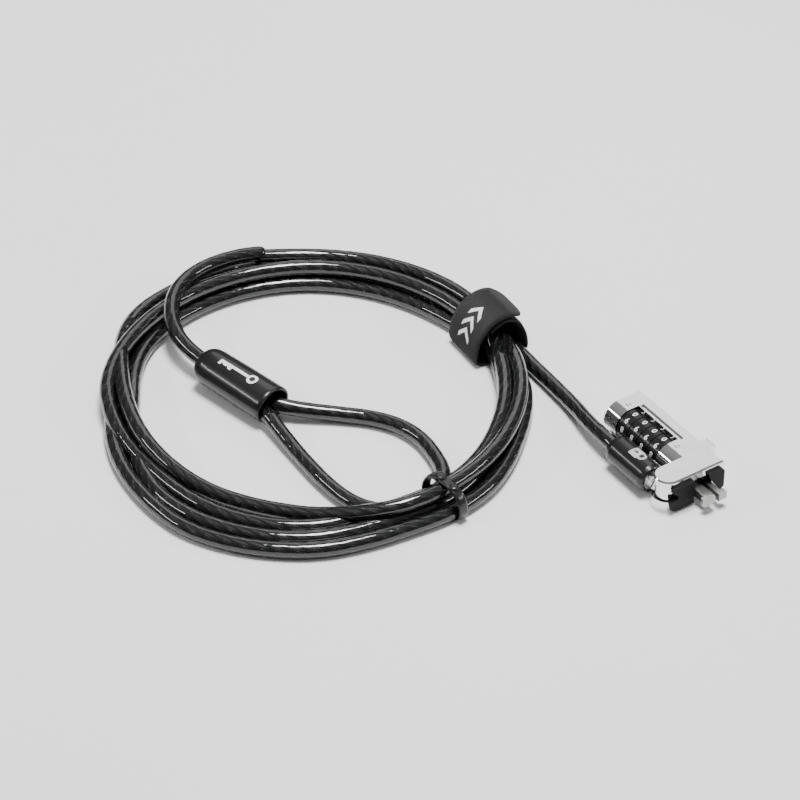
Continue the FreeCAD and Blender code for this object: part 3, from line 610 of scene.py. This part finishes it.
def make_digits():
    """The ten digits of each wheel as one piece that turns with it."""
    for wheel in range(4):
        joined = bmesh.new()
        wheel_x = FIRST_WHEEL_X + WHEEL_PITCH * wheel
        for digit in range(DIGITS):
            start = math.radians(-360 / DIGITS * digit + 1)

            def place(across, up, high):
                turn = start + up / WHEEL_RADIUS
                radius = WHEEL_RADIUS - 0.01 + high
                return mm(wheel_x - across, BARREL_Y - radius * math.sin(turn),
                          BARREL_Z + radius * math.cos(turn))

            edit = text_mesh(str(digit))
            raise_ink(edit)
            wrap(edit, place)
            flat = bpy.data.meshes.new("digit")
            edit.to_mesh(flat)
            edit.free()
            joined.from_mesh(flat)
            bpy.data.meshes.remove(flat)
        mesh = bpy.data.meshes.new(f"digits_{wheel + 1}")
        bmesh.ops.recalc_face_normals(joined, faces=joined.faces)
        joined.to_mesh(mesh)
        joined.free()
        mesh.materials.append(WHITE_INK)
        add_piece(f"digits_{wheel + 1}", mesh, f"wheel_{wheel + 1}", False)


make_digits()

# ------------------------------------------------------------------ printed marks
def circle(across, radius):
    """Points round a circle on the X axis."""
    return [(across + x, y) for x, y in ring_section(radius, 28)]


def half_circle(across, radius, side):
    """Points round the +X half of a circle, upwards for side 1 and downwards for side -1."""
    turns = [side * (index / 20 - 0.5) * math.pi for index in range(21)]
    return [(across + radius * math.cos(turn), radius * math.sin(turn)) for turn in turns]


def bar(left, low, right, high):
    return [(left, low), (right, low), (right, high), (left, high)]


MARK_STEP = 0.6


def outline_mesh(outlines, size):
    """Flat closed outlines, holes inside them left open, cut both ways so that they can bend."""
    curve = bpy.data.curves.new("mark", "CURVE")
    curve.dimensions = "2D"
    curve.fill_mode = "BOTH"
    for outline in outlines:
        spline = curve.splines.new("POLY")
        spline.points.add(len(outline) - 1)
        for point, place in zip(spline.points, outline):
            point.co = (*place, 0, 1)
        spline.use_cyclic_u = True
    edit = face_edit(curve)
    for length, normal in zip(size, (Vector((1, 0, 0)), Vector((0, 1, 0)))):
        count = math.ceil(length / MARK_STEP)
        for index in range(count + 1):
            cut(edit, normal * (index / count - 0.5) * length, normal)
    return edit


def print_mark(name, outlines, size, place, ink):
    """A printed mark as its own thin piece on a curved surface of the cable assembly."""
    edit = outline_mesh(outlines, size)
    raise_ink(edit)
    wrap(edit, place)
    bmesh.ops.recalc_face_normals(edit, faces=edit.faces)
    mesh = bpy.data.meshes.new(name)
    edit.to_mesh(mesh)
    edit.free()
    mesh.materials.append(ink)
    add_piece(name, mesh, "cable_assembly", False)


def padlock(size):
    """A plain padlock sign, its shackle towards +X."""
    body = bar(-size, -size, size * 0.75, size)
    keyhole = circle(-size * 0.1, size * 0.26)
    keyway = bar(-size * 0.75, -size * 0.1, -size * 0.42, size * 0.1)
    foot = size * 0.78
    outer = half_circle(size * 1.05, size * 0.8, 1)
    inner = half_circle(size * 1.05, size * 0.42, -1)
    shackle = [(foot, -size * 0.8), *outer, (foot, size * 0.8),
               (foot, size * 0.42), *inner, (foot, -size * 0.42)]
    return [body, keyhole, keyway, shackle]


def key_sign(long, high):
    """A plain key sign: a ring, a shaft and three teeth along +X."""
    radius = high / 2
    shaft = high * 0.14
    bow = -long / 2 + radius
    root = bow + radius * 1.04
    teeth = []
    for start, depth in ((0.5, 0.42), (0.36, 0.3), (0.22, 0.42)):
        reach = long * start
        teeth += [(reach, -high * depth), (reach - long * 0.07, -high * depth),
                  (reach - long * 0.07, -shaft)]
    blade = [(root, shaft), (long / 2, shaft), *teeth, (root, -shaft)]
    return [circle(bow, radius), circle(bow, radius * 0.52), blade]


RELIEF_Y = -9.8
RELIEF_Z = 6.2
RELIEF_RADIUS = 5.2


def on_relief(across, up, high):
    """A place on the strain relief: across runs towards the head, up round towards +Y."""
    turn = up / RELIEF_RADIUS + math.radians(4)
    radius = RELIEF_RADIUS - 0.012 + high
    return mm(-1.2 + across, RELIEF_Y + radius * math.sin(turn),
              RELIEF_Z + radius * math.cos(turn))


print_mark("relief_mark", padlock(2.25), (9, 4.5), on_relief, GREY_INK)

# ------------------------------------------------------------------ the loop's sleeve
SLEEVE_REAR = mm(-127, -99.9, 7.4)
SLEEVE_FRONT = mm(-94.4, -92.4, 6.4)
# reach along the sleeve, half width, half height: outside, round the open front and back inside
SLEEVE_OVALS = [(0.0, 3.4, 3.1), (0.15, 4.4, 3.9), (0.6, 5.5, 4.9), (1.4, 6.3, 5.6),
                (2.6, 6.85, 6.05), (4.4, 7.15, 6.3), (8.0, 7.25, 6.35), (20.0, 7.5, 6.5),
                (32.0, 7.6, 6.38), (32.9, 7.55, 6.33), (33.3, 7.3, 6.1), (33.4, 6.9, 5.7),
                (33.3, 6.5, 5.4), (32.9, 6.3, 5.2), (31.0, 6.2, 5.1), (28.0, 6.1, 5.0)]
OUTSIDE_OVALS = SLEEVE_OVALS[:9]
SLEEVE_SIDES = 48


def on_sleeve(reach, turn, wide, high):
    """A place on an oval round the sleeve's middle line, turned on from the top."""
    along = (SLEEVE_FRONT - SLEEVE_REAR).normalized()
    side = Vector((0, 0, 1)).cross(along).normalized()
    up = along.cross(side)
    return (SLEEVE_REAR + along * reach * MM + side * wide * math.sin(turn) * MM
            + up * high * math.cos(turn) * MM)


def make_sleeve():
    """The moulded sleeve: rounded rear, slightly flared body and an open oval front."""
    turns = [math.tau * index / SLEEVE_SIDES for index in range(SLEEVE_SIDES)]
    rows = [[on_sleeve(reach, turn, wide, high) for turn in turns]
            for reach, wide, high in SLEEVE_OVALS]
    mesh = grid_mesh("loop_sleeve_shell", rows)
    cap_ends(mesh, SLEEVE_SIDES)
    mesh.materials.append(LOOKS["sleeve_plastic"])
    piece = add_piece("loop_sleeve_shell", mesh, "cable_assembly")
    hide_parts("loop_sleeve")
    return piece


def on_sleeve_top(across, up, high):
    """A place on the sleeve's upper side: across runs from the front to the rear."""
    reach = 17.5 - across
    behind = max(oval for oval in OUTSIDE_OVALS if oval[0] <= reach)
    ahead = min(oval for oval in OUTSIDE_OVALS if oval[0] > reach)
    share = (reach - behind[0]) / (ahead[0] - behind[0])
    wide = behind[1] + share * (ahead[1] - behind[1])
    tall = behind[2] + share * (ahead[2] - behind[2])
    return on_sleeve(reach, up / 6.9 - math.radians(4), wide - 0.02 + high, tall - 0.02 + high)


loop_sleeve = make_sleeve()
print_mark("sleeve_mark", key_sign(17.0, 4.0), (17, 4), on_sleeve_top,
           WHITE_INK)

# ------------------------------------------------------------------ the strap round the coil
STRAP_ANGLE = math.radians(86)
STRAP_WIDE = 18.5
STRAP_THICK = 1.1
STRAP_COUNT = 14
# radius from the coil's middle and height: the under layer, once round, and the tab on top
STRAP_LINE = [(66.2, 13.4), (69.4, 15.6), (73.0, 16.2), (76.4, 14.9), (78.8, 12.0),
              (80.4, 8.0), (81.1, 4.0), (80.9, 1.4), (78.6, 0.62), (74.0, 0.6), (67.0, 0.6),
              (62.4, 0.65), (60.7, 1.6), (60.5, 5.0), (61.4, 9.6), (63.6, 13.6), (66.8, 16.6),
              (70.6, 17.9), (74.4, 17.9), (77.6, 16.6), (79.6, 15.2)]


BAND_STEPS = 8
FLOOR_GAP = 0.00002
EDGE_START = 0.93


class Band:
    """A band across the coil: a middle line of (radius, height) at one angle."""

    def __init__(self, angle, line):
        self.outward = Vector((math.cos(angle), math.sin(angle), 0))
        self.along = Vector((-self.outward.y, self.outward.x, 0))
        self.points = [point.xy for point in
                       read_line([(radius, high, 0) for radius, high in line], BAND_STEPS)]
        self.gone = [0.0]
        for before, after in zip(self.points, self.points[1:]):
            self.gone.append(self.gone[-1] + (after - before).length)
        self.length = self.gone[-1]

    def place(self, distance, across, offset):
        """A point a distance along, across the band, and off its middle line outward."""
        distance = min(max(distance, 0.0), self.length)
        index = max(1, bisect.bisect_left(self.gone, distance))
        before, after = self.points[index - 1], self.points[index]
        share = (distance - self.gone[index - 1]) / (self.gone[index] - self.gone[index - 1])
        behind = self.points[max(index - 2, 0)]
        ahead = self.points[min(index + 1, len(self.points) - 1)]
        heading = ((before - behind).lerp(after - before, share)
                   + (after - before).lerp(ahead - after, share)).normalized()
        spot = before.lerp(after, share) + Vector((-heading.y, heading.x)) * offset
        return (mm(*COIL_MIDDLE, 0) + self.outward * spot.x + self.along * across
                + Vector((0, 0, max(spot.y, FLOOR_GAP))))


def band_mesh(name, band, wide, thick, corner, count, edge_share):
    """The band's solid, outer side first in each row, with thin edges and a round end."""
    rows = []
    for distance in band.gone:
        left = band.length - distance
        half = wide / 2
        if left < corner:
            half -= corner - math.sqrt(max(corner ** 2 - (corner - left) ** 2, 0))
        row = []
        for side in (1, -1):
            for step in range(count + 1):
                share = -1 + 2 * step / count
                edge = max(0.0, abs(share) - EDGE_START) / (1 - EDGE_START)
                offset = side * thick / 2 * (1 - edge * edge_share)
                row.append(band.place(distance, -side * share * half, offset))
        rows.append(row)
    mesh = grid_mesh(name, rows)
    cap_ends(mesh, 2 * (count + 1))
    return mesh


def make_strap(band):
    """A hook-and-loop strap: woven outside, fuzzy inside, with a round-cornered tab end."""
    mesh = band_mesh("strap", band, STRAP_WIDE * MM, STRAP_THICK * MM, 4.4 * MM, STRAP_COUNT,
                     0.55)
    mesh.materials.append(LOOKS["strap_fabric"])
    mesh.materials.append(PILE)
    for index, polygon in enumerate(mesh.polygons):
        if index % (2 * (STRAP_COUNT + 1)) > STRAP_COUNT:
            polygon.material_index = 1
    piece = add_piece("strap", mesh, "cable_assembly")
    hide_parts("coil_strap")


strap_band = Band(STRAP_ANGLE, STRAP_LINE)


def on_strap(across, up, high):
    """A place on the strap's outer side: across runs along the strap towards the tab."""
    return strap_band.place(strap_band.length - (19.5 - across) * MM, up * MM,
                            (STRAP_THICK / 2 - 0.01 + high) * MM)


def chevrons(count, step, high, thick):
    """A row of plain arrowheads along +X."""
    half = high / 2
    row = []
    for index in range(count):
        left = (index - (count - 1) / 2) * step - half / 2
        row.append([(left, half), (left + thick, half), (left + thick + half, 0),
                    (left + thick, -half), (left, -half), (left + half, 0)])
    return row


make_strap(strap_band)
print_mark("strap_mark", chevrons(3, 4.4, 6.4, 1.9), (16, 6.4), on_strap,
           WHITE_INK)

# ------------------------------------------------------------------ the tie round the coil
TIE_ANGLE = math.radians(7)
# radius and height of the band's middle: tail, over, down outside, under, up inside, over
TIE_LINE = [(62.0, 10.2), (64.2, 11.3), (67.0, 11.75), (71.0, 11.85), (74.6, 11.0),
            (77.2, 8.4), (78.1, 5.6), (78.1, 3.0), (76.8, 0.9), (74.0, 0.5), (70.0, 0.5),
            (64.0, 0.5), (61.0, 0.8), (59.7, 2.6), (59.6, 5.2), (60.8, 8.6), (63.2, 11.2),
            (66.0, 12.6), (68.2, 12.75)]


def make_tie():
    """A narrow moulded tie closed over the turns, with its low head and a stud on top."""
    band = Band(TIE_ANGLE, TIE_LINE)
    edit = bmesh.new()
    edit.from_mesh(band_mesh("tie", band, 3.6 * MM, 0.9 * MM, 1.2 * MM, 6, 0.4))
    for radius, high, size, tall in ((66.6, 12.4, 2.1, 0.9), (73.2, 11.9, 1.6, 0.7)):
        place = mm(*COIL_MIDDLE, high) + band.outward * radius * MM
        lump = bmesh.ops.create_uvsphere(edit, u_segments=16, v_segments=10, radius=MM)["verts"]
        for vertex in lump:
            flat = Vector(vertex.co)
            square = max(abs(flat.x), abs(flat.y)) / MM
            vertex.co = (place + band.outward * flat.x * size + band.along * flat.y * size
                         + Vector((0, 0, flat.z * tall)) * (0.8 + 0.2 * square))
    mesh = bpy.data.meshes.new("tie")
    edit.to_mesh(mesh)
    edit.free()
    mesh.materials.append(LOOKS["tie_plastic"])
    piece = add_piece("tie", mesh, "cable_assembly")
    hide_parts("coil_tie")


make_tie()

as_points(cable_points)
